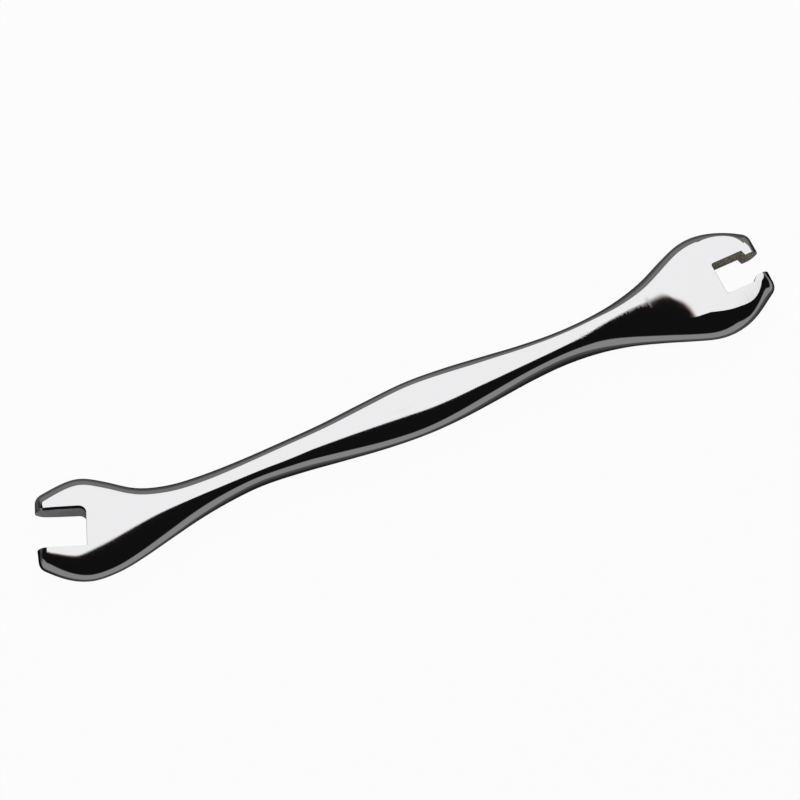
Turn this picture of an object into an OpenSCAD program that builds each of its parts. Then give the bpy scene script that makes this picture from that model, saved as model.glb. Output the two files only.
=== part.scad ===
// Double-ended spoke wrench, forged in one piece and polished.
// X runs along the handle from the open jaw to the keyed jaw, Y points to the far edge, Z is up.
// The wrench lies flat on Z = 0, and X and Y are zero at the middle of its outline's box.

/* [Handle] */
// Distance between the middles of the two heads
heads_l = 109.1; // [96:0.2:130]
// Thickness of the body between the lands ground along its crest
body_t = 5; // [4.4:0.1:6.5]
// Crown that is ground off to make each land
land_grind = 0.06; // [0.02:0.01:0.12]
// Width of the slim neck behind the open head
open_neck_w = 5.2; // [4:0.1:7]
// Width of the slim neck behind the keyed head
keyed_neck_w = 5.45; // [4:0.1:7]
// Width of the bulge in the middle of the handle
bulge_w = 9.55; // [7:0.1:12]
// Distance of the bulge's middle from the handle's line, towards the near edge
bulge_offset = 0.2; // [0:0.05:0.6]

/* [Open head] */
// Width of the open head
open_head_w = 17; // [15:0.1:19]
// Distance of the open head's middle from the handle's line
open_head_offset = 1.2; // [0:0.05:2]
// Reach of the open head's tips from its middle, along the jaw
open_tip_reach = 8.4; // [7.8:0.1:9.6]
// Width across the flats that the open jaw takes
open_jaw_w = 6.1; // [5:0.1:7]
// Depth of the open jaw from its tips to its back wall
open_jaw_depth = 8.1; // [6.5:0.1:8.5]
// Angle between the open jaw and the handle
open_jaw_angle = 20; // [10:1:25]
// Radius in the far back corner of the open jaw
open_far_corner_r = 1.2; // [0.3:0.1:1.5]
// Radius in the near back corner of the open jaw
open_near_corner_r = 0.3; // [0.2:0.1:1.5]

/* [Keyed head] */
// Width of the keyed head
keyed_head_w = 18; // [16:0.1:20]
// Distance of the keyed head's middle from the handle's line
keyed_head_offset = 0.4; // [0:0.05:2]
// Reach of the keyed head's tips from its middle, along the jaw
keyed_tip_reach = 9.9; // [9.4:0.1:11]
// Thickness of the keyed head between its two ground faces
keyed_face_t = 4.1; // [3.6:0.1:4.9]
// Distance from the keyed head's middle back to where its faces start
keyed_face_back = 5.4; // [4:0.1:7]
// Length of the slope from the handle's land down to a face
keyed_slope_l = 11.5; // [8:0.5:15]
// Width across the flats that the keyed jaw takes
keyed_jaw_w = 5.7; // [5.2:0.1:6.2]
// Depth of the keyed jaw from its back wall to its far hook
keyed_jaw_depth = 5.7; // [5:0.1:6]
// Width of the mouth between the two hooks
keyed_mouth_w = 3.85; // [3.4:0.05:4.6]
// Distance from the keyed head's middle to the jaw's back wall
keyed_back_x = 1.4; // [1:0.05:1.7]
// Angle between the keyed jaw and the handle
keyed_jaw_angle = 2; // [0:0.5:5]
// Radius in the back corners of the keyed jaw
keyed_corner_r = 0.35; // [0.2:0.05:0.8]
// Run of the slanted inner face of the far hook
far_hook_run = 0.3; // [0.1:0.05:0.5]
// Run of the slanted inner face of the near hook
near_hook_run = 0.9; // [0.3:0.05:1.2]

/* [Edges] */
// Rounding of the four tips, seen from above
tip_corner_r = 1.8; // [1:0.1:1.9]
// Longest step along the outline
outline_step = 4; // [2:0.5:6]

/* [Hidden] */

// Fullness of the section from side to side, where 2 is an ellipse, and towards the tips
side_fullness = 2.5;
tip_fullness = 7;
// Steps of the section from the outline up to its last ring, and of a tip's rounding
section_steps = 7;
corner_steps = 5;
// Slant of the section at its last ring, above the land
crest_angle = 6;
// Largest turn of the outline in one step
outline_turn = 10;
cut_overrun = 3;

open_r = open_head_w / 2;
keyed_r = keyed_head_w / 2;
open_mid = [-heads_l / 2, open_head_offset];
keyed_mid = [heads_l / 2, keyed_head_offset];

// Places along the handle, as shares of the distance from its middle to a head's middle
neck_far_open_share = 0.56;
neck_near_open_share = 0.5;
neck_keyed_share = 0.5;
bulge_share = 0.03;

// How the bulge falls to a neck: share of the way, share of the bulge's height that is left
bulge_fall_shares = [[0.25, 0.86], [0.5, 0.53], [0.75, 0.17]];
bulge_fall_far_open_shares = [[0.25, 0.69], [0.5, 0.29], [0.75, 0.1]];

// How a neck flares to a head: share of the way, share of the rise
flare_far_open_shares = [[0.2, 0.015], [0.4, 0.075], [0.6, 0.27], [0.8, 0.725], [0.92, 0.955]];
flare_near_open_shares = [[0.2, 0.105], [0.4, 0.3], [0.6, 0.57], [0.8, 0.845], [0.92, 0.97]];
flare_far_keyed_shares = [[0.2, 0.035], [0.4, 0.16], [0.6, 0.395], [0.8, 0.765], [0.92, 0.955]];
flare_near_keyed_shares = [[0.2, 0.055], [0.4, 0.22], [0.6, 0.49], [0.8, 0.8], [0.92, 0.965]];

// Outline of each head in its jaw's own directions, as shares of half its width:
// the widest place, the cheek, and last the corner of the tip as a share of its reach
open_far_shares = [[0.36, 0.973], [0.66, 0.84]];
open_near_shares = [[-0.42, -0.88], [0, -0.988], [0.28, -0.967], [0.56, -0.883]];
open_corner_shares = [[1, 0.663], [0.945, -0.702]];
keyed_far_shares = [[0.06, 1], [0.48, 0.92], [0.7, 0.83], [0.93, 0.715]];
keyed_near_shares = [[-0.09, -1.008], [0.19, -0.984], [0.42, -0.922], [0.65, -0.81], [0.88, -0.67]];
keyed_corner_shares = [[1, 0.61], [0.99, -0.545]];

// Turns a point given along and across a jaw into the handle's directions
function open_place(p) = open_mid
    + p[0] * [-cos(open_jaw_angle), sin(open_jaw_angle)]
    + p[1] * [sin(open_jaw_angle), cos(open_jaw_angle)];
function keyed_place(p) = keyed_mid
    + p[0] * [cos(keyed_jaw_angle), sin(keyed_jaw_angle)]
    + p[1] * [-sin(keyed_jaw_angle), cos(keyed_jaw_angle)];

function unit(v) = v / norm(v);
function turned(v, angle) = [v[0] * cos(angle) - v[1] * sin(angle), v[0] * sin(angle) + v[1] * cos(angle)];
function eased(t) = let (s = max(0, min(1, t))) s * s * (3 - 2 * s);

// A run of points between two places, by shares of the way and of the rise
function run(from, to, shares) = [for (s = shares) [
    from[0] + (to[0] - from[0]) * s[0],
    from[1] + (to[1] - from[1]) * s[1]]];
function fall(from, to, shares) = [for (s = shares) [
    from[0] + (to[0] - from[0]) * s[0],
    to[1] + (from[1] - to[1]) * s[1]]];
function reversed(list) = [for (i = [len(list) - 1:-1:0]) list[i]];

// A smooth curve through all points but the first and the last, which only steer its ends
function slope_at(p, i) = let (
        before = p[i] - p[i - 1],
        after = p[i + 1] - p[i],
        lb = norm(before),
        la = norm(after))
    (before / lb * la + after / la * lb) / (lb + la);
function on_curve(a, b, slope_a, slope_b, t) = let (l = norm(b - a))
    a * (2 * t ^ 3 - 3 * t ^ 2 + 1) + slope_a * l * (t ^ 3 - 2 * t ^ 2 + t)
    + b * (3 * t ^ 2 - 2 * t ^ 3) + slope_b * l * (t ^ 3 - t ^ 2);
function curve(p) = [for (i = [1:len(p) - 3])
    let (
        turn = acos(min(1, unit(slope_at(p, i)) * unit(slope_at(p, i + 1)))),
        n = ceil(max(turn / outline_turn, norm(p[i + 1] - p[i]) / outline_step)))
    for (k = [0:n - 1]) on_curve(p[i], p[i + 1], slope_at(p, i), slope_at(p, i + 1), k / n)];

// The rounding of a corner between two straight edges
function corner(before, at, after, r) = let (
        u = unit(before - at),
        v = unit(after - at),
        half = acos(u * v) / 2,
        middle = at + unit(u + v) * r / sin(half),
        start = at + u * r / tan(half) - middle,
        side = sign(cross(u, v)))
    [for (k = [0:corner_steps]) middle + turned(start, -side * (180 - 2 * half) * k / corner_steps)];

// The two long edges, from the open head to the keyed head
half_l = heads_l / 2;
bulge_x = half_l * bulge_share;
open_far = [for (s = open_far_shares) open_place(s * open_r)];
open_near = [for (s = open_near_shares) open_place(s * open_r)];
keyed_far = [for (s = keyed_far_shares) keyed_place(s * keyed_r)];
keyed_near = [for (s = keyed_near_shares) keyed_place(s * keyed_r)];
open_corners = [for (s = open_corner_shares) open_place([s[0] * open_tip_reach, s[1] * open_r])];
keyed_corners = [for (s = keyed_corner_shares) keyed_place([s[0] * keyed_tip_reach, s[1] * keyed_r])];
open_end = open_place([open_tip_reach, 0]);
keyed_end = keyed_place([keyed_tip_reach, 0]);

far_open_neck = [-half_l * neck_far_open_share, open_neck_w / 2];
near_open_neck = [-half_l * neck_near_open_share, -open_neck_w / 2];
far_keyed_neck = [half_l * neck_keyed_share, keyed_neck_w / 2];
near_keyed_neck = [half_l * neck_keyed_share, -keyed_neck_w / 2];
far_bulge = [bulge_x, bulge_w / 2 - bulge_offset];
near_bulge = [bulge_x, -bulge_w / 2 - bulge_offset];

open_far_tip = corner(open_far[1], open_corners[0], open_end, tip_corner_r);
open_near_tip = corner(open_end, open_corners[1], open_near[3], tip_corner_r);
keyed_near_tip = corner(keyed_near[4], keyed_corners[1], keyed_end, tip_corner_r);
keyed_far_tip = corner(keyed_end, keyed_corners[0], keyed_far[3], tip_corner_r);

near_edge = concat(
    [open_corners[1], open_near_tip[corner_steps]],
    reversed(open_near),
    reversed(run(near_open_neck, open_near[0], flare_near_open_shares)),
    [near_open_neck],
    reversed(fall(near_bulge, near_open_neck, bulge_fall_shares)),
    [near_bulge],
    fall(near_bulge, near_keyed_neck, bulge_fall_shares),
    [near_keyed_neck],
    run(near_keyed_neck, keyed_near[0], flare_near_keyed_shares),
    keyed_near,
    [keyed_near_tip[0], keyed_corners[1]]);
far_edge = concat(
    [keyed_corners[0], keyed_far_tip[corner_steps]],
    reversed(keyed_far),
    reversed(run(far_keyed_neck, keyed_far[0], flare_far_keyed_shares)),
    [far_keyed_neck],
    reversed(fall(far_bulge, far_keyed_neck, bulge_fall_shares)),
    [far_bulge],
    fall(far_bulge, far_open_neck, bulge_fall_far_open_shares),
    [far_open_neck],
    run(far_open_neck, open_far[0], flare_far_open_shares),
    open_far,
    [open_far_tip[0], open_corners[0]]);

outline = concat(
    curve(near_edge),
    keyed_near_tip,
    [keyed_end],
    [for (i = [0:corner_steps - 1]) keyed_far_tip[i]],
    curve(far_edge),
    open_far_tip,
    [open_end],
    [for (i = [0:corner_steps - 1]) open_near_tip[i]]);
outline_n = len(outline);

// The spine that the section rises to: it bends from the handle's line into each head
spine_bend_share = 0.64;
spine_tip_share = 0.28;
open_spine_end = open_place([open_tip_reach * spine_tip_share, 0]);
keyed_spine_end = keyed_place([keyed_tip_reach * spine_tip_share, 0]);
function spine(x) = let (
        cx = max(open_spine_end[0], min(keyed_spine_end[0], x)),
        bend = half_l * spine_bend_share)
    [cx, cx < 0
        ? open_spine_end[1] * eased((-cx - bend) / (-open_spine_end[0] - bend))
        : keyed_spine_end[1] * eased((cx - bend) / (keyed_spine_end[0] - bend))];

// The section is fuller where the outline faces out past a head's end
function outward(i) = let (
        along = outline[(i + 1) % outline_n] - outline[(i + outline_n - 1) % outline_n])
    unit([along[1], -along[0]]);
function past_end(x) = max(open_spine_end[0] - x, x - keyed_spine_end[0], 0);
function fullness(i) = side_fullness + (tip_fullness - side_fullness)
    * outward(i)[0] ^ 2 * eased(past_end(outline[i][0]) / tip_corner_r / 2);

crown = body_t / 2 + land_grind;
function ring_angle(k) = 90 - (90 - crest_angle) * k / section_steps;
function ring(k, side) = [for (i = [0:outline_n - 1]) let (
        p = outline[i],
        s = spine(p[0]),
        q = s + (p - s) * sin(ring_angle(k)) ^ (2 / fullness(i)))
    [q[0], q[1], side * crown * cos(ring_angle(k))]];

// Rings from below the lower land over the outline to above the upper land
rings = concat(
    [for (k = [section_steps:-1:1]) ring(k, -1)],
    [for (k = [0:section_steps]) ring(k, 1)]);
ring_n = len(rings);

module blank() {
    polyhedron(
        points = [for (r = rings) each r],
        faces = concat(
            [[for (i = [0:outline_n - 1]) i]],
            [for (k = [0:ring_n - 2]) for (i = [0:outline_n - 1]) let (
                    j = (i + 1) % outline_n,
                    a = k * outline_n,
                    b = a + outline_n)
                each [[a + i, b + i, b + j], [a + i, b + j, a + j]]],
            [[for (i = [outline_n - 1:-1:0]) (ring_n - 1) * outline_n + i]]),
        convexity = 6);
}

// Side view of the lands, the two slopes and the keyed head's faces, to which the blank is ground
module side_view() {
    start = keyed_mid[0] - keyed_face_back;
    reach = half_l + open_tip_reach + cut_overrun;
    keyed_end_x = half_l + keyed_tip_reach + cut_overrun;
    rotate([90, 0, 0])
        linear_extrude(keyed_head_w + 2 * cut_overrun, center = true)
            polygon([
                [-reach, body_t / 2],
                [start - keyed_slope_l, body_t / 2],
                [start, keyed_face_t / 2],
                [keyed_end_x, keyed_face_t / 2],
                [keyed_end_x, -keyed_face_t / 2],
                [start, -keyed_face_t / 2],
                [start - keyed_slope_l, -body_t / 2],
                [-reach, -body_t / 2]]);
}

// A straight slot with a radius in each back corner, along +X from its back wall
module open_jaw() {
    w = open_jaw_w / 2;
    l = open_jaw_depth + cut_overrun;
    linear_extrude(body_t + 2 * cut_overrun, center = true)
        polygon(concat(
            [[l, w]],
            corner([l, w], [0, w], [0, -w], open_far_corner_r),
            corner([0, w], [0, -w], [l, -w], open_near_corner_r),
            [[l, -w]]));
}

// The keyed jaw: a pocket for a square nipple, with a mouth that its two hooks narrow
module keyed_jaw() {
    w = keyed_jaw_w / 2;
    m = keyed_mouth_w / 2;
    l = keyed_tip_reach - keyed_back_x + cut_overrun;
    hook_x = keyed_jaw_depth + far_hook_run;
    linear_extrude(body_t + 2 * cut_overrun, center = true)
        polygon(concat(
            [[l, m], [hook_x, m], [keyed_jaw_depth, w]],
            corner([l, w], [0, w], [0, -w], keyed_corner_r),
            corner([0, w], [0, -w], [l, -w], keyed_corner_r),
            [[hook_x - near_hook_run, -w], [hook_x, -m], [l, -m]]));
}

// The middle of the outline's box, which goes to the origin
box_mid = [
    (min([for (p = outline) p[0]]) + max([for (p = outline) p[0]])) / 2,
    (min([for (p = outline) p[1]]) + max([for (p = outline) p[1]])) / 2];

module wrench_body() {
    color("silver")
        translate([-box_mid[0], -box_mid[1], body_t / 2])
            difference() {
                intersection() {
                    blank();
                    side_view();
                }
                translate(open_place([open_tip_reach - open_jaw_depth, 0]))
                    rotate(180 - open_jaw_angle)
                        mirror([0, 1, 0])
                            open_jaw();
                translate(keyed_place([keyed_back_x, 0]))
                    rotate(keyed_jaw_angle)
                        keyed_jaw();
            }
}

wrench_body();
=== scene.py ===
import math

import bmesh
import bpy
from bpy.props import FloatProperty, FloatVectorProperty, PointerProperty
from bpy.types import Operator, Panel, PropertyGroup
from mathutils import Euler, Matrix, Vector
from mathutils.bvhtree import BVHTree


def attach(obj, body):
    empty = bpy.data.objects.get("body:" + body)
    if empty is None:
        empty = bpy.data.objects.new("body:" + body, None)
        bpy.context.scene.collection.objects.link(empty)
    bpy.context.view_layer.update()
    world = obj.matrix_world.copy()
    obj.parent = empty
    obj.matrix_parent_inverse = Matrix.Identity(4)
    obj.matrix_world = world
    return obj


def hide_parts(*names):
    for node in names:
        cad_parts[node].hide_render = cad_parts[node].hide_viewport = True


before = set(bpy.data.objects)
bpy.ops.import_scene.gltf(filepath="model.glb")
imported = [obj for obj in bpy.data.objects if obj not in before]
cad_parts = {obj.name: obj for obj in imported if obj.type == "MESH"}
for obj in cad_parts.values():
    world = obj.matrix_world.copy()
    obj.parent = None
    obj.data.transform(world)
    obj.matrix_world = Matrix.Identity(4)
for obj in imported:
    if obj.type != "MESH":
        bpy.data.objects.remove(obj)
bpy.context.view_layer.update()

bl_info = {
    "name": "Spoke Wrench",
    "version": (1, 0, 0),
    "blender": (4, 5, 0),
    "location": "3D View > Sidebar > Spoke Wrench",
    "description": "A polished double-ended spoke wrench on a white studio floor",
    "category": "Object",
}

MM = 0.001
BODY = "root"
CAD_NODE = "wrench_body"

# Steps of the outline's curves and tips, and how its joins are smoothed
OUTLINE_STEP = 0.4 * MM
OUTLINE_TURN = math.radians(2)
TIP_STEPS = 14
SMOOTH_PASSES = 12
SMOOTH_FACTOR = 0.5

# Steps of the section from its side to near its crest, and then of the angle that is left,
# which each step halves
SECTION_STEPS = 22
CREST_STEPS = 8
CREST_ANGLE = math.radians(4)

# Steps along and across the ground faces, along a jaw's walls and round its corners
GROUND_STEP = 0.5 * MM
GROUND_STEPS = 24
SLOT_STEP = 0.25 * MM
WIDE_CORNER_STEPS = 8
FINE_CORNER_STEPS = 4

# How far a cutter reaches past the body
CUT_OVERRUN = 3 * MM

# Faces that meet at more than this angle keep a sharp edge
CREASE = math.radians(20)

# Places along the handle, as shares of the distance from its middle to a head's middle
NECK_FAR_OPEN_SHARE = 0.56
NECK_NEAR_OPEN_SHARE = 0.5
NECK_KEYED_SHARE = 0.5
BULGE_SHARE = 0.03

# Where the crest ends in each head, as shares of the tips' reach, and how softly it stops there
OPEN_SPINE_SHARE = 0.66
KEYED_SPINE_SHARE = 0.65
SPINE_BEND = 3 * MM

# How the bulge falls to a neck: share of the way, share of the bulge's height that is left
BULGE_FALL_SHARES = [(0.25, 0.86), (0.5, 0.53), (0.75, 0.17)]
BULGE_FALL_FAR_OPEN_SHARES = [(0.25, 0.69), (0.5, 0.29), (0.75, 0.1)]

# Along the handle, as shares of the distance from its middle to a head's middle: the share of
# the body's thickness, the fullness of the section's two sides, where 2 is an ellipse, and
# where its crest runs, in crest shifts
THICK_SHARES = [
    (-1.1, 0.99), (-0.9, 0.93), (-0.68, 0.865), (-0.45, 0.85), (-0.32, 0.9), (0, 0.74),
    (0.22, 0.885), (0.4, 0.965), (0.6, 1), (1.1, 1),
]
FAR_FULLNESS_SHARES = [
    (-1.12, 1.9), (-1, 2), (-0.85, 1.8), (-0.7, 1.6), (-0.6, 1.7), (-0.5, 2.1), (-0.35, 2.4),
    (0, 2.3), (0.2, 2.7), (0.35, 3.6), (0.58, 3.6), (0.7, 2.2), (0.85, 2), (0.95, 2.2),
    (1.05, 5), (1.11, 5), (1.16, 2.2),
]
NEAR_FULLNESS_SHARES = [
    (-1.12, 1.85), (-1, 1.95), (-0.68, 1.85), (-0.5, 2.3), (-0.35, 2.5), (0, 2.3), (0.36, 2.65),
    (0.51, 2.6), (0.68, 1.8), (0.82, 1.85), (0.95, 2.2), (1.04, 3.2), (1.1, 4), (1.16, 2.2),
]
CREST_SHARES = [
    (-1.1, 3.4), (-1.03, 2.8), (-0.92, 1.75), (-0.79, 0.5), (-0.68, -0.3), (-0.5, -0.33),
    (-0.3, 0), (0, -0.15), (0.33, -0.53), (0.55, 0), (0.66, 0.8), (0.77, 1.4), (0.88, 1.3),
    (1, 0.85), (1.15, 0.7),
]

# The slope to the keyed faces: share of the way, share of the height that is left, then share
# of the crown from side to side. Its own crest is last, in crest shifts.
SLOPE_SHARES = [(0.2, 0.63), (0.395, 0.27), (0.49, 0.13), (0.63, 0.033), (0.84, 0.004)]
SLOPE_CROWN_SHARES = [(0.395, 1), (0.63, 0.72), (0.84, 0.28), (1, 0)]
SLOPE_CREST_SHARE = 0.5

# How far a jaw's broken edge falls, as a share of its width
EDGE_FALL_SHARE = 0.43

# How a neck flares to a head: share of the way, share of the rise
FLARE_FAR_OPEN_SHARES = [
    (0.2, 0.015), (0.4, 0.075), (0.6, 0.27), (0.8, 0.725), (0.92, 0.955),
]
FLARE_NEAR_OPEN_SHARES = [(0.2, 0.105), (0.4, 0.3), (0.6, 0.57), (0.8, 0.845), (0.92, 0.97)]
FLARE_FAR_KEYED_SHARES = [(0.2, 0.035), (0.4, 0.16), (0.6, 0.395), (0.8, 0.765), (0.92, 0.955)]
FLARE_NEAR_KEYED_SHARES = [(0.2, 0.055), (0.4, 0.22), (0.6, 0.49), (0.8, 0.8), (0.92, 0.965)]

# Outline of each head in its jaw's own directions, as shares of half its width
OPEN_FAR_SHARES = [(0.36, 0.973), (0.66, 0.84)]
OPEN_NEAR_SHARES = [(-0.42, -0.88), (0, -0.988), (0.28, -0.967), (0.56, -0.883)]
OPEN_CORNER_SHARES = [(1, 0.663), (0.945, -0.702)]
KEYED_FAR_SHARES = [(0.06, 1), (0.48, 0.92), (0.7, 0.83), (0.93, 0.715)]
KEYED_NEAR_SHARES = [
    (-0.09, -1.008), (0.19, -0.984), (0.42, -0.922), (0.65, -0.81), (0.88, -0.67),
]
KEYED_CORNER_SHARES = [(1, 0.61), (0.99, -0.545)]

# Scales of the belt marks' noise across and through the wrench, then of the walls' noise along
# each axis, with its detail and roughness
MARKS_SCALE_Y = 60
MARKS_SCALE_Z = 400
WALL_SCALE = (3000, 3000, 700)
WALL_DETAIL = 3
WALL_NOISE_ROUGHNESS = 0.6

# Levels of that noise between which a wall goes from its dark tint to its light one, and how
# metallic the walls are
WALL_TINT_LEVELS = (0.35, 0.65)
WALL_METALLIC = 0.1

# Where the card's near edge starts to lose its fringe, as a share of the card's white
FRINGE_SHARE = 0.25

# Where the low wall has its full level, as a share of its gap, and the sines to the right
# between which the near wall gets lower
LOW_WALL_GAP_SHARE = 0.25
NEAR_WALL_DROP_SINES = (0.3, 0.6)

# Width of the floor and of the sheet that holds the steel's painted reflection of the floor, and
# that sheet's height
FLOOR_W = 4
PAINTED_REFLECTION_H = 0.02 * MM

# The camera's place and turn, and half a pixel of its picture
CAMERA_PLACE = Vector((-83.13, -127.93, 423.5)) * MM
CAMERA_TURN = Euler([math.radians(a) for a in (19.7685, -3.0956, -23.9415)])
PICTURE_W = 800
HALF_PIXEL = 0.5 / PICTURE_W


def length(name, description, default):
    """A size that a user would change, in metres."""
    return FloatProperty(
        name=name, description=description, default=default, min=0, precision=5, unit="LENGTH"
    )


def angle(name, description, degrees):
    return FloatProperty(
        name=name, description=description, default=math.radians(degrees), subtype="ANGLE"
    )


def level(name, description, default):
    return FloatProperty(name=name, description=description, default=default, min=0)


def colour(name, description, default):
    return FloatVectorProperty(
        name=name, description=description, default=default, min=0, max=1, size=3, subtype="COLOR"
    )


class SPOKEWRENCH_PG_sizes(PropertyGroup):
    heads_l: length("Heads", "Distance between the middles of the two heads", 109.1 * MM)
    body_t: length("Thickness", "Thickness of the thickest place", 5 * MM)
    crest_shift: length("Crest shift", "Unit of the crest's way across the handle", 1 * MM)
    open_neck_w: length("Open neck", "Width of the neck behind the open head", 5.2 * MM)
    keyed_neck_w: length("Keyed neck", "Width of the neck behind the keyed head", 5.45 * MM)
    bulge_w: length("Bulge", "Width of the bulge in the middle of the handle", 9.55 * MM)
    bulge_offset: length("Bulge offset", "The bulge's middle from the handle's line", 0.2 * MM)
    open_head_w: length("Open head", "Width of the open head", 17 * MM)
    open_head_offset: length("Open head offset", "The open head from the handle's line", 1.2 * MM)
    open_tip_reach: length("Open tips", "Reach of the open head's tips from its middle", 8.4 * MM)
    open_jaw_w: length("Open jaw", "Width across the flats that the open jaw takes", 6.1 * MM)
    open_jaw_depth: length("Open jaw depth", "From the tips to the jaw's back wall", 8.1 * MM)
    open_jaw_angle: angle("Open jaw angle", "Angle between the open jaw and the handle", 20)
    open_far_corner_r: length("Open far corner", "Radius in the far back corner", 1.2 * MM)
    open_near_corner_r: length("Open near corner", "Radius in the near back corner", 0.3 * MM)
    open_edge_w: length("Open jaw edge", "Break along the open jaw's far wall", 0.42 * MM)
    keyed_head_w: length("Keyed head", "Width of the keyed head", 18 * MM)
    keyed_head_offset: length("Keyed head offset", "The keyed head from the handle's line", 0.4 * MM)
    keyed_tip_reach: length("Keyed tips", "Reach of the keyed head's tips from its middle", 9.9 * MM)
    keyed_face_t: length("Keyed faces", "Thickness between the keyed head's faces", 4.1 * MM)
    keyed_face_back: length("Face start", "From the keyed head's middle to its faces", 2.55 * MM)
    keyed_slope_l: length("Slope", "Length of the slope from the neck to a face", 9.25 * MM)
    slope_top_t: length("Slope top", "Thickness where the slope starts", 5 * MM)
    slope_crown_r: length("Slope crown", "Radius of the slope's crown from side to side", 48 * MM)
    keyed_tilt: angle("Face tilt", "Fall of the slopes and keyed faces to the far side", 0.9)
    keyed_jaw_w: length("Keyed jaw", "Width across the flats that the keyed jaw takes", 5.7 * MM)
    keyed_jaw_depth: length("Keyed jaw depth", "From the back wall to the far hook", 5.7 * MM)
    keyed_mouth_w: length("Keyed mouth", "Width of the mouth between the hooks", 3.85 * MM)
    keyed_back_x: length("Keyed jaw back", "From the keyed head's middle to the back wall", 1.4 * MM)
    keyed_jaw_angle: angle("Keyed jaw angle", "Angle between the keyed jaw and the handle", 2)
    keyed_corner_r: length("Keyed corners", "Radius in the keyed jaw's back corners", 0.35 * MM)
    keyed_edge_w: length("Keyed jaw edge", "Break along the keyed jaw's far wall", 0.07 * MM)
    fine_edge_w: length("Fine edge", "Break along the other walls of both jaws", 0.05 * MM)
    far_hook_run: length("Far hook", "Run of the far hook's slanted face", 0.3 * MM)
    near_hook_run: length("Near hook", "Run of the near hook's slanted face", 0.9 * MM)
    tip_corner_r: length("Tips", "Rounding of the four tips, seen from above", 1.8 * MM)


class SPOKEWRENCH_PG_finish(PropertyGroup):
    steel: colour("Steel", "Colour of the polished steel", (0.8, 0.8, 0.81))
    steel_roughness: level("Steel roughness", "Roughness of the polished steel", 0.05)
    marks_l: length("Polishing marks", "Spacing of the marks left by the polishing belt", 0.16 * MM)
    marks_h: length("Mark height", "Height of the polishing marks where deepest", 0.016 * MM)
    shallow: level("Shallow marks", "Share of that height on the rest of the tool", 0.15)
    ground_marks: level("Ground marks", "The deep marks' share on the slope", 0.3)
    deep_from: length("Deep marks from", "Where the deep marks start along the handle", 30 * MM)
    deep_to: length("Deep marks to", "Where the deep marks end along the handle", 44 * MM)
    deep_fade: length("Deep marks fade", "How far the deep marks fade out", 3 * MM)
    wall: colour("Jaw walls", "Colour of the open jaw's milled walls", (0.68, 0.68, 0.69))
    wall_light: colour("Keyed walls", "Bright tint of the keyed jaw's walls", (0.86, 0.83, 0.76))
    wall_brown: colour("Keyed wall stain", "Stain in the keyed jaw's walls", (0.46, 0.4, 0.31))
    wall_roughness: level("Wall roughness", "Roughness of the milled walls", 0.5)


class SPOKEWRENCH_PG_stage(PropertyGroup):
    floor: colour("Floor", "Colour of the floor and the background", (1, 1, 1))
    floor_share: level("Floor glow", "Share of the floor's white that no shadow touches", 0.96)
    # The steel's painted reflection of the floor: the level of its dim glow, and the width of the
    # painted shadow of the wrench on it
    flag: level("Flag", "Level of the dark flag beside the wrench", 0.09)
    painted_shadow_w: length("Flag shade", "How far the wrench shades the flag", 20 * MM)
    card: level("Card", "Level of the white card above", 1.05)
    card_h: length("Card height", "Height of the card above the floor", 0.6)
    card_w: length("Card width", "Width of the whole sheet that holds the card", 3)
    card_turn: angle("Card turn", "Turn of the card's near edge from the wrench", 34.5)
    card_x: length("Card edge X", "Where the card's near edge passes the bulge's reflection", 0.119)
    card_y: length("Card edge Y", "Where the card's near edge passes the bulge's reflection", 0.076)
    card_soft: length("Card edge softness", "Half the width of the near edge's fade", 8 * MM)
    card_corner_y: length("Card corner", "How far the card reaches past the wrench", 0.06)
    card_corner_soft: length("Corner softness", "Half the width of that edge's fade", 20 * MM)
    fringe_w: length("Fringe width", "The same half width past the fringe's start", 12 * MM)
    fringe_run: length("Fringe run", "How far along the card the fringe widens", 80 * MM)
    card_r: length("Card far edge", "How far the card reaches from the wrench", 1.25)
    card_far_soft: length("Card far softness", "Width of the far edge's fade", 0.12)
    card_left: length("Card left", "How far the card reaches to the left", 0.325)
    card_left_soft: length("Card left softness", "Half the width of the left edge's fade", 40 * MM)
    fringe: colour("Fringe", "Colour of the card's near fringe", (0.3, 0.13, 0.08))
    left_fringe: colour("Left fringe", "Colour of the card's left fringe", (0.25, 0.27, 0.45))
    room: level("Room", "Level of the dark room that the steel shows", 0.006)
    low_wall: level("Low wall", "Level of the grey wall low in the room", 0.18)
    low_wall_top: level("Low wall top", "Height of the grey wall, as the sine of its angle", 0.43)
    low_wall_gap: level("Low wall gap", "How far left it darkens, as a sine", 0.45)
    left_wall: level("Left wall", "Level of the low wall on the left", 0.03)
    near_wall: level("Near wall", "Level of the grey wall on the near side", 0.27)
    near_wall_top: level("Near wall top", "Height of the near wall, as a sine too", 0.72)
    near_wall_drop: level("Near wall drop", "How much lower it is on the right", 0.3)
    low_wall_turn: level("Wall turn", "How softly the low wall turns into the near wall", 0.25)
    low_wall_soft: level("Low wall softness", "Fade of the grey wall's top", 0.06)
    lens: level("Lens", "Focal length of the camera in millimetres", 125.2)


class Head:
    """The middle of a head, with its jaw's directions along and across."""

    def __init__(self, middle, along, across):
        self.middle = middle
        self.along = along
        self.across = across

    def place(self, along, across):
        return self.middle + self.along * along + self.across * across

    def places(self, reach, half_w, shares):
        return [self.place(a * reach, b * half_w) for a, b in shares]


def open_head(s):
    a = s.open_jaw_angle
    middle = Vector((-s.heads_l / 2, s.open_head_offset))
    return Head(middle, Vector((-math.cos(a), math.sin(a))), Vector((math.sin(a), math.cos(a))))


def keyed_head(s):
    a = s.keyed_jaw_angle
    middle = Vector((s.heads_l / 2, s.keyed_head_offset))
    return Head(middle, Vector((math.cos(a), math.sin(a))), Vector((-math.sin(a), math.cos(a))))


def run(start, end, shares):
    """Points between two places, by shares of the way and of the rise."""
    return [start + (end - start) * Vector(share) for share in shares]


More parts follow.
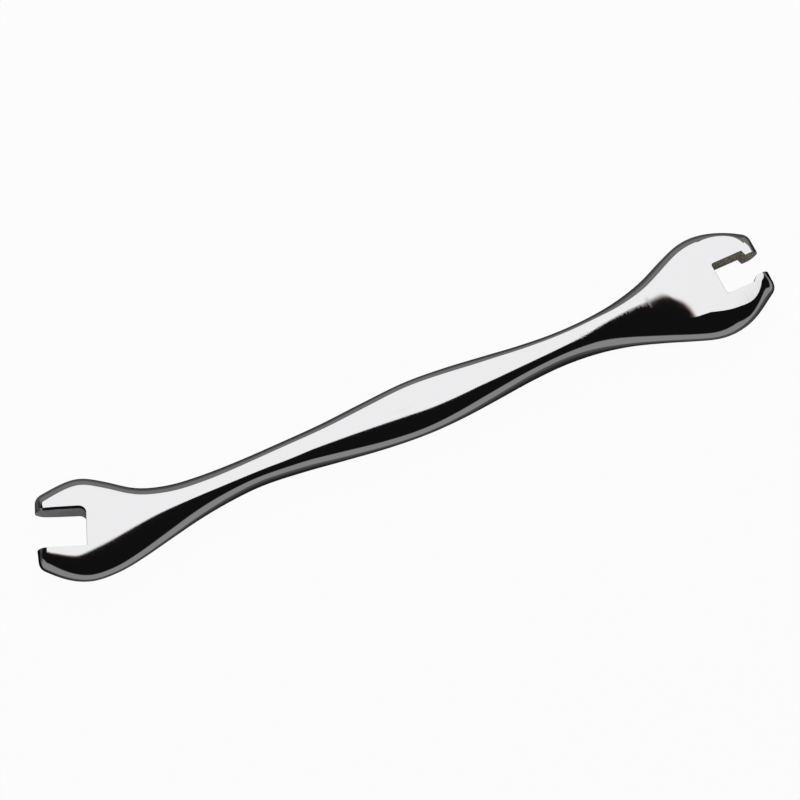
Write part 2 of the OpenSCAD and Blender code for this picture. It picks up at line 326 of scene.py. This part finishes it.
def fall(start, end, shares):
    """The same, by shares of the way and of the height that is left."""
    return run(start, end, [(way, 1 - left) for way, left in shares])


def slope_at(points, i):
    """A curve's slope at a point, which leans to the nearer of its two neighbours."""
    before = points[i] - points[i - 1]
    after = points[i + 1] - points[i]
    leaning = before / before.length * after.length + after / after.length * before.length
    return leaning / (before.length + after.length)


def between(a, b, leaving, arriving, t):
    """The place at share t of a cubic from a to b, with its slopes at both ends."""
    return (
        a * (2 * t**3 - 3 * t**2 + 1) + leaving * (t**3 - 2 * t**2 + t)
        + b * (3 * t**2 - 2 * t**3) + arriving * (t**3 - t**2)
    )


def curve(points):
    """A smooth curve through all points but the first and the last, which steer its ends."""
    found = []
    for i in range(1, len(points) - 2):
        a, b = points[i], points[i + 1]
        start, end = slope_at(points, i), slope_at(points, i + 1)
        chord = (b - a).length
        n = math.ceil(max(start.angle(end) / OUTLINE_TURN, chord / OUTLINE_STEP))
        found += [between(a, b, start * chord, end * chord, k / n) for k in range(n)]
    return found


def corner(before, at, after, radius, steps):
    """The rounding of a corner between two straight edges."""
    u, v = (before - at).normalized(), (after - at).normalized()
    half = u.angle(v) / 2
    middle = at + (u + v).normalized() * radius / math.sin(half)
    start = at + u * radius / math.tan(half) - middle
    turn = -math.copysign(1, u.cross(v)) * (math.pi - 2 * half)
    turns = [Euler((0, 0, turn * k / steps)) for k in range(steps + 1)]
    return [middle + part.to_matrix().to_2x2() @ start for part in turns]


def outline(s):
    """The wrench's outline seen from above, as stretches, and whether each is a long curve."""
    half = s.heads_l / 2
    opened, keyed = open_head(s), keyed_head(s)
    open_r, keyed_r = s.open_head_w / 2, s.keyed_head_w / 2
    open_far = opened.places(open_r, open_r, OPEN_FAR_SHARES)
    open_near = opened.places(open_r, open_r, OPEN_NEAR_SHARES)
    keyed_far = keyed.places(keyed_r, keyed_r, KEYED_FAR_SHARES)
    keyed_near = keyed.places(keyed_r, keyed_r, KEYED_NEAR_SHARES)
    open_corners = opened.places(s.open_tip_reach, open_r, OPEN_CORNER_SHARES)
    keyed_corners = keyed.places(s.keyed_tip_reach, keyed_r, KEYED_CORNER_SHARES)
    open_end, keyed_end = opened.place(s.open_tip_reach, 0), keyed.place(s.keyed_tip_reach, 0)

    far_open_neck = Vector((-half * NECK_FAR_OPEN_SHARE, s.open_neck_w / 2))
    near_open_neck = Vector((-half * NECK_NEAR_OPEN_SHARE, -s.open_neck_w / 2))
    far_keyed_neck = Vector((half * NECK_KEYED_SHARE, s.keyed_neck_w / 2))
    near_keyed_neck = Vector((half * NECK_KEYED_SHARE, -s.keyed_neck_w / 2))
    far_bulge = Vector((half * BULGE_SHARE, s.bulge_w / 2 - s.bulge_offset))
    near_bulge = Vector((half * BULGE_SHARE, -s.bulge_w / 2 - s.bulge_offset))

    def tip(before, at, after):
        return corner(before, at, after, s.tip_corner_r, TIP_STEPS)

    open_far_tip = tip(open_far[-1], open_corners[0], open_end)
    open_near_tip = tip(open_end, open_corners[1], open_near[-1])
    keyed_near_tip = tip(keyed_near[-1], keyed_corners[1], keyed_end)
    keyed_far_tip = tip(keyed_end, keyed_corners[0], keyed_far[-1])

    near_edge = [
        open_corners[1], open_near_tip[-1], *reversed(open_near),
        *reversed(run(near_open_neck, open_near[0], FLARE_NEAR_OPEN_SHARES)), near_open_neck,
        *reversed(fall(near_bulge, near_open_neck, BULGE_FALL_SHARES)), near_bulge,
        *fall(near_bulge, near_keyed_neck, BULGE_FALL_SHARES), near_keyed_neck,
        *run(near_keyed_neck, keyed_near[0], FLARE_NEAR_KEYED_SHARES), *keyed_near,
        keyed_near_tip[0], keyed_corners[1],
    ]
    far_edge = [
        keyed_corners[0], keyed_far_tip[-1], *reversed(keyed_far),
        *reversed(run(far_keyed_neck, keyed_far[0], FLARE_FAR_KEYED_SHARES)), far_keyed_neck,
        *reversed(fall(far_bulge, far_keyed_neck, BULGE_FALL_SHARES)), far_bulge,
        *fall(far_bulge, far_open_neck, BULGE_FALL_FAR_OPEN_SHARES), far_open_neck,
        *run(far_open_neck, open_far[0], FLARE_FAR_OPEN_SHARES), *open_far,
        open_far_tip[0], open_corners[0],
    ]
    return [
        (curve(near_edge), True), (keyed_near_tip, False), ([keyed_end], False),
        (keyed_far_tip[:-1], False), (curve(far_edge), True), (open_far_tip, False),
        ([open_end], False), (open_near_tip[:-1], False),
    ]


def smoothed_outline(s):
    """The outline's points, with the joins of its long curves eased."""
    stretches = outline(s)
    points = [p for stretch, _ in stretches for p in stretch]
    eases = [is_long for stretch, is_long in stretches for _ in stretch]
    bm = bmesh.new()
    ring = bmesh.ops.create_circle(bm, segments=len(points), radius=1)["verts"]
    for vert, point in zip(ring, points):
        vert.co = (*point, 0)
    count = len(points)
    inner = [
        vert for i, vert in enumerate(ring)
        if eases[i] and eases[i - 1] and eases[(i + 1) % count]
    ]
    for _ in range(SMOOTH_PASSES):
        bmesh.ops.smooth_vert(
            bm, verts=inner, factor=SMOOTH_FACTOR,
            use_axis_x=True, use_axis_y=True, use_axis_z=True,
        )
    points = [v.co.to_2d() for v in ring]
    bm.free()
    return points


def box_middle(points):
    xs, ys = [p.x for p in points], [p.y for p in points]
    return Vector(((min(xs) + max(xs)) / 2, (min(ys) + max(ys)) / 2))


def value_at(shares, place):
    """The value at a place, on a smooth line through pairs of a place and a value."""
    line = [shares[0], *shares, shares[-1]]
    x = max(shares[0][0], min(shares[-1][0], place))
    i = max(k for k in range(1, len(line) - 2) if k == 1 or line[k][0] <= x)

    def rise(k):
        return (line[k + 1][1] - line[k - 1][1]) / (line[k + 1][0] - line[k - 1][0])

    (x0, y0), (x1, y1) = line[i], line[i + 1]
    span = x1 - x0
    return between(y0, y1, rise(i) * span, rise(i + 1) * span, (x - x0) / span)


def held_above(x, limit, bend):
    """The value, kept from passing a limit by a soft bend."""
    if x >= limit + bend:
        return x
    return limit + bend * (max(0, x - limit + bend) / bend / 2) ** 2


def section_rings(s, points):
    """Rings from the lower crest over the outline to the upper crest."""
    open_tip = open_head(s).place(s.open_tip_reach * OPEN_SPINE_SHARE, 0)
    keyed_tip = keyed_head(s).place(s.keyed_tip_reach * KEYED_SPINE_SHARE, 0)
    half = s.heads_l / 2

    def spine(x):
        x = held_above(x, open_tip.x, SPINE_BEND)
        x = -held_above(-x, -keyed_tip.x, SPINE_BEND)
        return Vector((x, s.crest_shift * value_at(CREST_SHARES, x / half)))

    def power_at(p, m):
        fullness = FAR_FULLNESS_SHARES if p.y > m.y else NEAR_FULLNESS_SHARES
        return 2 / value_at(fullness, p.x / half)

    middles = [spine(p.x) for p in points]
    powers = [power_at(p, m) for p, m in zip(points, middles)]
    angles = [
        math.pi / 2 - (math.pi / 2 - CREST_ANGLE) * k / SECTION_STEPS
        for k in range(SECTION_STEPS + 1)
    ] + [CREST_ANGLE / 2 ** k for k in range(1, CREST_STEPS)]

    # Each height is the one at the ring's own place, because a ring nears the crest aslant
    def ring(a, side):
        found = []
        for p, m, power in zip(points, middles, powers):
            place = m + (p - m) * math.sin(a) ** power
            crown = s.body_t / 2 * min(1, value_at(THICK_SHARES, place.x / half))
            found.append((*place, s.body_t / 2 + side * crown * math.cos(a)))
        return found

    lower = [ring(a, -1) for a in reversed(angles[1:])]
    return lower + [ring(a, 1) for a in angles]


def object_from(bm, name):
    """A new object in the scene, with the mesh that bm holds."""
    mesh = bpy.data.meshes.new(name)
    bm.to_mesh(mesh)
    bm.free()
    made = bpy.data.objects.new(name, mesh)
    bpy.context.scene.collection.objects.link(made)
    return made


def loft(name, rings, bands=()):
    """A closed solid through rings of as many points each, extruded edge by edge from a circle.

    bands gives the material's place in the object's list for each band between two rings.
    """
    bm = bmesh.new()
    ring = bmesh.ops.create_circle(bm, segments=len(rings[0]), radius=1)["verts"]
    for vert, co in zip(ring, rings[0]):
        vert.co = co
    edges = first = list(bm.edges)
    for k, coordinates in enumerate(rings[1:]):
        geometry = bmesh.ops.extrude_edge_only(bm, edges=edges)["geom"]
        new = {g for g in geometry if isinstance(g, bmesh.types.BMVert)}
        made = [g for g in geometry if isinstance(g, bmesh.types.BMEdge)]
        edges = [edge for edge in made if set(edge.verts) <= new]
        ring = [
            next(e.other_vert(vert) for e in vert.link_edges if e.other_vert(vert) in new)
            for vert in ring
        ]
        for vert, co in zip(ring, coordinates):
            vert.co = co
        if bands:
            for g in geometry:
                if isinstance(g, bmesh.types.BMFace):
                    g.material_index = bands[k]
    for rim in (first, edges):
        bmesh.ops.edgeloop_fill(bm, edges=rim)
    bmesh.ops.recalc_face_normals(bm, faces=bm.faces)
    return object_from(bm, name)


def cut(piece, cutters, operation):
    """Gives the piece its mesh after a cut, and removes the cutters."""
    for cutter in cutters:
        modifier = piece.modifiers.new(cutter.name, "BOOLEAN")
        modifier.operation = operation
        modifier.solver = "MANIFOLD"
        modifier.material_mode = "TRANSFER"
        modifier.object = cutter
    bpy.context.view_layer.update()
    evaluated = piece.evaluated_get(bpy.context.evaluated_depsgraph_get())
    mesh = bpy.data.meshes.new_from_object(evaluated)
    piece.modifiers.clear()
    piece.data = mesh
    for cutter in cutters:
        bpy.data.objects.remove(cutter)


def ground_solid(s, material):
    """What the two slopes and the keyed faces leave of the blank, as a solid to keep."""
    half = s.heads_l / 2
    side = s.keyed_head_w / 2 + CUT_OVERRUN
    start = Vector((half - s.keyed_face_back - s.keyed_slope_l, s.slope_top_t / 2))
    end = Vector((half - s.keyed_face_back, s.keyed_face_t / 2))
    line = [tuple(p) for p in (start, *fall(start, end, SLOPE_SHARES), end)]
    n = math.ceil((end.x - start.x) / GROUND_STEP)
    places = [start.x + (end.x - start.x) * k / n for k in range(n + 1)]
    above = s.body_t / 2 + CUT_OVERRUN
    crest = s.crest_shift * SLOPE_CREST_SHARE

    def profile(y):
        found = [(-half - s.open_tip_reach - CUT_OVERRUN, above), (start.x, above)]
        for x in places + [half + s.keyed_tip_reach + CUT_OVERRUN]:
            crown = value_at(SLOPE_CROWN_SHARES, (x - start.x) / s.keyed_slope_l)
            drop = crown * (y - crest) ** 2 / 2 / s.slope_crown_r
            drop += (y - crest) * math.tan(s.keyed_tilt)
            found.append((x, value_at(line, x) - drop))
        return found

    rings = []
    for k in range(GROUND_STEPS + 1):
        y = side * (2 * k / GROUND_STEPS - 1)
        top = profile(y)
        rings.append(
            [(x, y, s.body_t / 2 + z) for x, z in top]
            + [(x, y, s.body_t / 2 - z) for x, z in reversed(top)]
        )
    solid = loft("ground_solid", rings)
    solid.data.materials.append(material)
    return solid


def stepped(loop):
    """The loop with its long edges divided, so that it can follow a curved face."""
    found = []
    for a, b in zip(loop, loop[1:] + loop[:1]):
        n = max(1, round((b - a).length / SLOT_STEP))
        found += [a.lerp(b, k / n) for k in range(n)]
    return found


def slot_cutter(name, loop, head, surface, s, edge_w, materials):
    """A prism for a jaw that also breaks the jaw's edges along both faces of the head."""
    loop = stepped(loop)
    count = len(loop)
    area = sum(a.cross(b) for a, b in zip(loop, loop[1:] + loop[:1]))
    outwards, widths, heights = [], [], []
    middle = s.body_t / 2
    top = s.body_t + CUT_OVERRUN
    for i, p in enumerate(loop):
        along = (loop[(i + 1) % count] - loop[i - 1]).normalized() * math.copysign(1, area)
        outwards.append(Vector((along.y, -along.x)))
        widths.append(max(edge_w * outwards[i].dot(head.across), s.fine_edge_w))
        hit = surface.ray_cast((*(p + outwards[i] * widths[i]), top), (0, 0, -1))[0]
        heights.append(None if hit is None else hit.z - middle)

    # Past the body's outline there is no height, so the nearest one along the loop is taken
    known = [i for i in range(count) if heights[i] is not None]
    for i in range(count):
        if heights[i] is None:
            near = min(known, key=lambda k: min(abs(k - i), count - abs(k - i)))
            heights[i] = heights[near]

    def ring(share, height_of):
        return [
            (*(p + out * width * share), middle + height_of(h, width))
            for p, out, width, h in zip(loop, outwards, widths, heights)
        ]

    rings = [
        ring(1, lambda h, width: middle - top),
        ring(1, lambda h, width: -h),
        ring(0, lambda h, width: width * EDGE_FALL_SHARE - h),
        ring(0, lambda h, width: h - width * EDGE_FALL_SHARE),
        ring(1, lambda h, width: h),
        ring(1, lambda h, width: top - middle),
    ]
    cutter = loft(name, rings, bands=(0, 0, 1, 0, 0))
    for material in materials:
        cutter.data.materials.append(material)
    return cutter


def open_jaw_loop(s, head):
    w = s.open_jaw_w / 2
    back = s.open_tip_reach - s.open_jaw_depth
    end = s.open_tip_reach + CUT_OVERRUN
    far_out, far, near, near_out = (
        head.place(a, b) for a, b in ((end, w), (back, w), (back, -w), (end, -w))
    )
    return [
        far_out,
        *corner(far_out, far, near, s.open_far_corner_r, WIDE_CORNER_STEPS),
        *corner(far, near, near_out, s.open_near_corner_r, FINE_CORNER_STEPS),
        near_out,
    ]


def keyed_jaw_loop(s, head):
    w, m = s.keyed_jaw_w / 2, s.keyed_mouth_w / 2
    back, end = s.keyed_back_x, s.keyed_tip_reach + CUT_OVERRUN
    hook = back + s.keyed_jaw_depth + s.far_hook_run
    far_out, far, near, near_out = (
        head.place(a, b) for a, b in ((end, w), (back, w), (back, -w), (end, -w))
    )
    return [
        head.place(end, m), head.place(hook, m), head.place(back + s.keyed_jaw_depth, w),
        *corner(far_out, far, near, s.keyed_corner_r, FINE_CORNER_STEPS),
        *corner(far, near, near_out, s.keyed_corner_r, FINE_CORNER_STEPS),
        head.place(hook - s.near_hook_run, -w), head.place(hook, -m), head.place(end, -m),
    ]


class Value:
    """A shader socket that takes part in Python sums, each of which adds its Math node."""

    def __init__(self, tree, socket):
        self.tree = tree
        self.socket = socket

    def math(self, operation, *values):
        return node(self.tree, "ShaderNodeMath", {"operation": operation}, dict(enumerate(values)))

    def __add__(self, other):
        return self.math("ADD", self, other)

    def __radd__(self, other):
        return self.math("ADD", other, self)

    def __sub__(self, other):
        return self.math("SUBTRACT", self, other)

    def __rsub__(self, other):
        return self.math("SUBTRACT", other, self)

    def __mul__(self, other):
        return self.math("MULTIPLY", self, other)

    def __rmul__(self, other):
        return self.math("MULTIPLY", other, self)

    def __truediv__(self, other):
        return self.math("DIVIDE", self, other)

    def __rtruediv__(self, other):
        return self.math("DIVIDE", other, self)

    def __pow__(self, other):
        return self.math("POWER", self, other)

    def __abs__(self):
        return self.math("ABSOLUTE", self)

    def clamped(self):
        return node(self.tree, "ShaderNodeClamp", {}, {"Value": self})

    def ease(self, low, high):
        """Rises smoothly from 0 at low to 1 at high, or falls where low is the larger."""
        inputs = {"Value": self, "From Min": low, "From Max": high}
        return node(self.tree, "ShaderNodeMapRange", {"interpolation_type": "SMOOTHSTEP"}, inputs)

    def at(self, name):
        """Another output of the same node."""
        return Value(self.tree, self.socket.node.outputs[name])


def node(tree, kind, settings, inputs, output=0):
    """Adds a node, sets it, then feeds its sockets, and returns one of its outputs."""
    made = tree.nodes.new(kind)
    for key, value in settings.items():
        setattr(made, key, value)
    for key, value in inputs.items():
        if isinstance(value, Value):
            tree.links.new(value.socket, made.inputs[key])
        elif value is not None:
            made.inputs[key].default_value = value
    return Value(tree, made.outputs[output])


def new_material(name):
    material = bpy.data.materials.new(name)
    material.use_nodes = True
    material.node_tree.nodes.clear()
    return material, material.node_tree


def show(tree, shader, kind="ShaderNodeOutputMaterial"):
    """Links a shader to the tree's output."""
    tree.links.new(shader.socket, tree.nodes.new(kind).inputs["Surface"])


def blend(tree, share, first, second):
    """A colour between two others, by the Mix node's sockets for colours."""
    return node(tree, "ShaderNodeMix", {"data_type": "RGBA"}, {0: share, 6: first, 7: second}, 2)


def grey(tree, brightness):
    inputs = {"Red": brightness, "Green": brightness, "Blue": brightness}
    return node(tree, "ShaderNodeCombineColor", {}, inputs)


def object_coordinates(tree):
    return node(tree, "ShaderNodeTexCoord", {}, {}, "Object")


def stretched_noise(tree, place, scale, detail=2, roughness=0.5):
    """Noise whose spacing along each axis is the inverse of that axis' scale."""
    moved = node(tree, "ShaderNodeMapping", {}, {"Vector": place, "Scale": scale})
    inputs = {"Vector": moved, "Scale": 1, "Detail": detail, "Roughness": roughness}
    return node(tree, "ShaderNodeTexNoise", {"noise_dimensions": "3D"}, inputs)


def polished_steel(name, finish, deepest):
    """Bright steel, with belt marks that run across the handle and are deepest on its neck."""
    material, tree = new_material(name)
    place = object_coordinates(tree)
    marks = stretched_noise(tree, place, (1 / finish.marks_l, MARKS_SCALE_Y, MARKS_SCALE_Z))
    x = node(tree, "ShaderNodeSeparateXYZ", {}, {"Vector": place})
    deep = x.ease(finish.deep_from - finish.deep_fade, finish.deep_from)
    deep = deep * x.ease(finish.deep_to + finish.deep_fade, finish.deep_to)
    height = marks * (deep * (deepest - finish.shallow) + finish.shallow)
    bump = node(
        tree, "ShaderNodeBump", {}, {"Height": height, "Distance": finish.marks_h, "Strength": 1}
    )
    shader = node(tree, "ShaderNodeBsdfPrincipled", {}, {
        "Base Color": (*finish.steel, 1), "Metallic": 1,
        "Roughness": finish.steel_roughness, "Normal": bump,
    })
    show(tree, shader)
    return material


def milled_wall(name, finish, light, dark):
    """Dull milled steel with streaks along the cutter's way, between two tints."""
    material, tree = new_material(name)
    grain = stretched_noise(
        tree, object_coordinates(tree), WALL_SCALE, WALL_DETAIL, WALL_NOISE_ROUGHNESS
    )
    tint = blend(tree, grain.ease(*WALL_TINT_LEVELS), (*dark, 1), (*light, 1))
    bump = node(tree, "ShaderNodeBump", {}, {"Height": grain, "Distance": finish.marks_h})
    shader = node(tree, "ShaderNodeBsdfPrincipled", {}, {
        "Base Color": tint, "Metallic": WALL_METALLIC,
        "Roughness": finish.wall_roughness, "Normal": bump,
    })
    show(tree, shader)
    return material


def shade_smooth(mesh, crease):
    """Smooth shading, but sharp where faces meet at more than the crease or change material."""
    bm = bmesh.new()
    bm.from_mesh(mesh)
    for face in bm.faces:
        face.smooth = True
    for edge in bm.edges:
        materials = {face.material_index for face in edge.link_faces}
        edge.smooth = edge.calc_face_angle(0) < crease and len(materials) == 1
    bm.to_mesh(mesh)
    bm.free()


class SPOKEWRENCH_OT_body(Operator):
    """Forges, grinds and slots the wrench's one piece of steel"""

    bl_idname = "spoke_wrench.body"
    bl_label = "Wrench body"

    def execute(self, context):
        s = context.scene.wrench_sizes
        finish = context.scene.wrench_finish
        points = smoothed_outline(s)
        body = loft("wrench", section_rings(s, points))
        steel = polished_steel("polished_steel", finish, 1)
        ground = polished_steel("ground_steel", finish, finish.ground_marks)
        body.data.materials.append(steel)
        cut(body, [ground_solid(s, ground)], "INTERSECT")

        # The jaws' broken edges follow the surface as it is before the jaws are cut
        bm = bmesh.new()
        bm.from_mesh(body.data)
        surface = BVHTree.FromBMesh(bm)
        bm.free()
        opened, keyed = open_head(s), keyed_head(s)
        open_wall = milled_wall("open_jaw_wall", finish, finish.wall, finish.wall)
        keyed_wall = milled_wall(
            "keyed_jaw_wall", finish, finish.wall_light, finish.wall_brown
        )
        open_cutter = slot_cutter(
            "open_jaw", open_jaw_loop(s, opened), opened, surface, s, s.open_edge_w,
            (steel, open_wall),
        )
        keyed_cutter = slot_cutter(
            "keyed_jaw", keyed_jaw_loop(s, keyed), keyed, surface, s, s.keyed_edge_w,
            (steel, keyed_wall),
        )
        cut(body, [open_cutter, keyed_cutter], "DIFFERENCE")

        # The frame's origin is in the middle of the outline's box
        middle = box_middle(points)
        for vert in body.data.vertices:
            vert.co.x -= middle.x
            vert.co.y -= middle.y
        shade_smooth(body.data, CREASE)
        weighted = body.modifiers.new("even_shading", "WEIGHTED_NORMAL")
        weighted.keep_sharp = True
        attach(body, BODY)
        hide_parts(CAD_NODE)
        return {"FINISHED"}


def card_material(stage):
    """White between the card's near edge, its corner, its left and far edges, else clear."""
    material, tree = new_material("card")
    place = node(tree, "ShaderNodeSeparateXYZ", {}, {"Vector": object_coordinates(tree)})
    x, y = place, place.at("Y")
    cos, sin = math.cos(stage.card_turn), math.sin(stage.card_turn)
    past_near = (y - stage.card_y) * cos - (x - stage.card_x) * sin
    soft = x.ease(stage.card_x, stage.card_x + stage.fringe_run)
    soft = soft * (stage.fringe_w - stage.card_soft) + stage.card_soft
    past_corner = (y + stage.card_corner_y) / stage.card_corner_soft
    near = (past_near / soft).ease(-1, 1) * past_corner.ease(-1, 1)
    left = (x + stage.card_left).ease(-stage.card_left_soft, stage.card_left_soft)
    across = (x * x + y * y) ** 0.5
    inside = across.ease(stage.card_r + stage.card_far_soft, stage.card_r)
    white = (1, 1, 1, 1)
    tint = blend(tree, near.ease(FRINGE_SHARE, 1), (*stage.fringe, 1), white)
    left_tint = blend(tree, left, (*stage.left_fringe, 1), white)
    tint = node(tree, "ShaderNodeVectorMath", {"operation": "MULTIPLY"}, {0: tint, 1: left_tint})
    lit = node(tree, "ShaderNodeEmission", {}, {"Color": tint, "Strength": stage.card})
    clear = node(tree, "ShaderNodeBsdfTransparent", {}, {})
    mixed = node(tree, "ShaderNodeMixShader", {}, {0: near * left * inside, 1: clear, 2: lit})
    show(tree, mixed)
    return material


def painted_reflection_material(stage):
    """Painted reflection of the floor, seen only by the steel: a dim glow with a painted shadow of
    the wrench, which fades it to black along the wrench's line.
    """
    material, tree = new_material("flag")
    place = node(tree, "ShaderNodeSeparateXYZ", {}, {"Vector": object_coordinates(tree)})
    # Painted shadow of the wrench: black on the wrench's line, full glow past the shadow's width
    lit = abs(place.at("Y")).ease(0, stage.painted_shadow_w)
    shader = node(
        tree, "ShaderNodeEmission", {}, {"Color": grey(tree, lit), "Strength": stage.flag}
    )
    show(tree, shader)
    return material


def room_world(stage):
    """White to the camera, and to the steel a dark room with a low wall.

    The wall is higher and brighter on the near side.
    """
    world = bpy.data.worlds.new("room")
    world.use_nodes = True
    tree = world.node_tree
    tree.nodes.clear()
    where = node(tree, "ShaderNodeTexCoord", {}, {}, "Generated")
    x = node(tree, "ShaderNodeSeparateXYZ", {}, {"Vector": where})
    near = x.at("Y").ease(stage.low_wall_turn, -stage.low_wall_turn)
    low = x.ease(-stage.low_wall_gap, -stage.low_wall_gap * LOW_WALL_GAP_SHARE)
    low = low * (stage.low_wall - stage.left_wall) + stage.left_wall
    near_top = x.ease(*NEAR_WALL_DROP_SINES) * -stage.near_wall_drop + stage.near_wall_top
    top = near * (near_top - stage.low_wall_top) + stage.low_wall_top
    brightness = near * (stage.near_wall - low) + low
    wall = (top - x.at("Z")).ease(0, stage.low_wall_soft) * brightness + stage.room
    room = node(tree, "ShaderNodeBackground", {}, {"Color": grey(tree, wall)})
    white = node(tree, "ShaderNodeBackground", {}, {"Color": (*stage.floor, 1)})
    ray = node(tree, "ShaderNodeLightPath", {}, {}, "Is Camera Ray")
    mixed = node(tree, "ShaderNodeMixShader", {}, {0: ray, 1: room, 2: white})
    show(tree, mixed, "ShaderNodeOutputWorld")
    return world


def floor_material(stage):
    """White that mostly glows where it is seen, so that shadows on it stay faint."""
    material, tree = new_material("floor")
    ray = node(tree, "ShaderNodeLightPath", {}, {}, "Is Camera Ray")
    seen = (ray + ray.at("Is Glossy Ray") + ray.at("Is Transmission Ray")).clamped()
    own = node(tree, "ShaderNodeBsdfDiffuse", {}, {"Color": (*stage.floor, 1)})
    glow = node(tree, "ShaderNodeEmission", {}, {"Color": (*stage.floor, 1)})
    mixed = node(
        tree, "ShaderNodeMixShader", {}, {0: seen * stage.floor_share, 1: own, 2: glow}
    )
    show(tree, mixed)
    return material


def plane(name, size, height, material):
    """A square sheet of the stage."""
    bm = bmesh.new()
    bmesh.ops.create_grid(bm, x_segments=1, y_segments=1, size=size / 2)
    bmesh.ops.translate(bm, verts=bm.verts, vec=(0, 0, height))
    piece = object_from(bm, name)
    piece.data.materials.append(material)
    return piece


class SPOKEWRENCH_OT_stage(Operator):
    """Sets up the floor, the card, the room and the camera"""

    bl_idname = "spoke_wrench.stage"
    bl_label = "Stage"

    def execute(self, context):
        stage = context.scene.wrench_stage
        plane("floor", FLOOR_W, 0, floor_material(stage))
        card = plane("card", stage.card_w, stage.card_h, card_material(stage))
        card.visible_camera = False

        # Only the steel's reflections see this sheet, whose glow is a painted reflection of the
        # floor with a painted shadow of the wrench; it lights nothing else and casts no shadow
        flag = plane("flag", FLOOR_W, PAINTED_REFLECTION_H, painted_reflection_material(stage))
        for kind in ("camera", "diffuse", "transmission", "volume_scatter", "shadow"):
            setattr(flag, f"visible_{kind}", False)

        data = bpy.data.cameras.new("camera")
        data.lens = stage.lens
        data.shift_x = -HALF_PIXEL
        data.shift_y = HALF_PIXEL
        camera = bpy.data.objects.new("camera", data)
        camera.location = CAMERA_PLACE
        camera.rotation_euler = CAMERA_TURN
        context.scene.collection.objects.link(camera)
        context.scene.camera = camera
        context.scene.world = room_world(stage)
        context.scene.view_settings.view_transform = "Standard"
        return {"FINISHED"}


class SPOKEWRENCH_PT_panel(Panel):
    bl_idname = "SPOKEWRENCH_PT_panel"
    bl_label = "Spoke Wrench"
    bl_space_type = "VIEW_3D"
    bl_region_type = "UI"
    bl_category = "Spoke Wrench"

    def draw(self, context):
        column = self.layout.column()
        for group in (
            context.scene.wrench_sizes, context.scene.wrench_finish, context.scene.wrench_stage
        ):
            for name in group.__annotations__:
                column.prop(group, name)
        for operator in OPERATORS:
            column.operator(operator.bl_idname)


OPERATORS = (SPOKEWRENCH_OT_body, SPOKEWRENCH_OT_stage)
GROUPS = {
    "wrench_sizes": SPOKEWRENCH_PG_sizes,
    "wrench_finish": SPOKEWRENCH_PG_finish,
    "wrench_stage": SPOKEWRENCH_PG_stage,
}


def register():
    for cls in (*GROUPS.values(), *OPERATORS, SPOKEWRENCH_PT_panel):
        bpy.utils.register_class(cls)
    for name, group in GROUPS.items():
        setattr(bpy.types.Scene, name, PointerProperty(type=group))


def unregister():
    for name in GROUPS:
        delattr(bpy.types.Scene, name)
    for cls in reversed((*GROUPS.values(), *OPERATORS, SPOKEWRENCH_PT_panel)):
        bpy.utils.unregister_class(cls)


def main():
    register()
    bpy.ops.spoke_wrench.body()
    bpy.ops.spoke_wrench.stage()


if __name__ == "__main__":
    main()
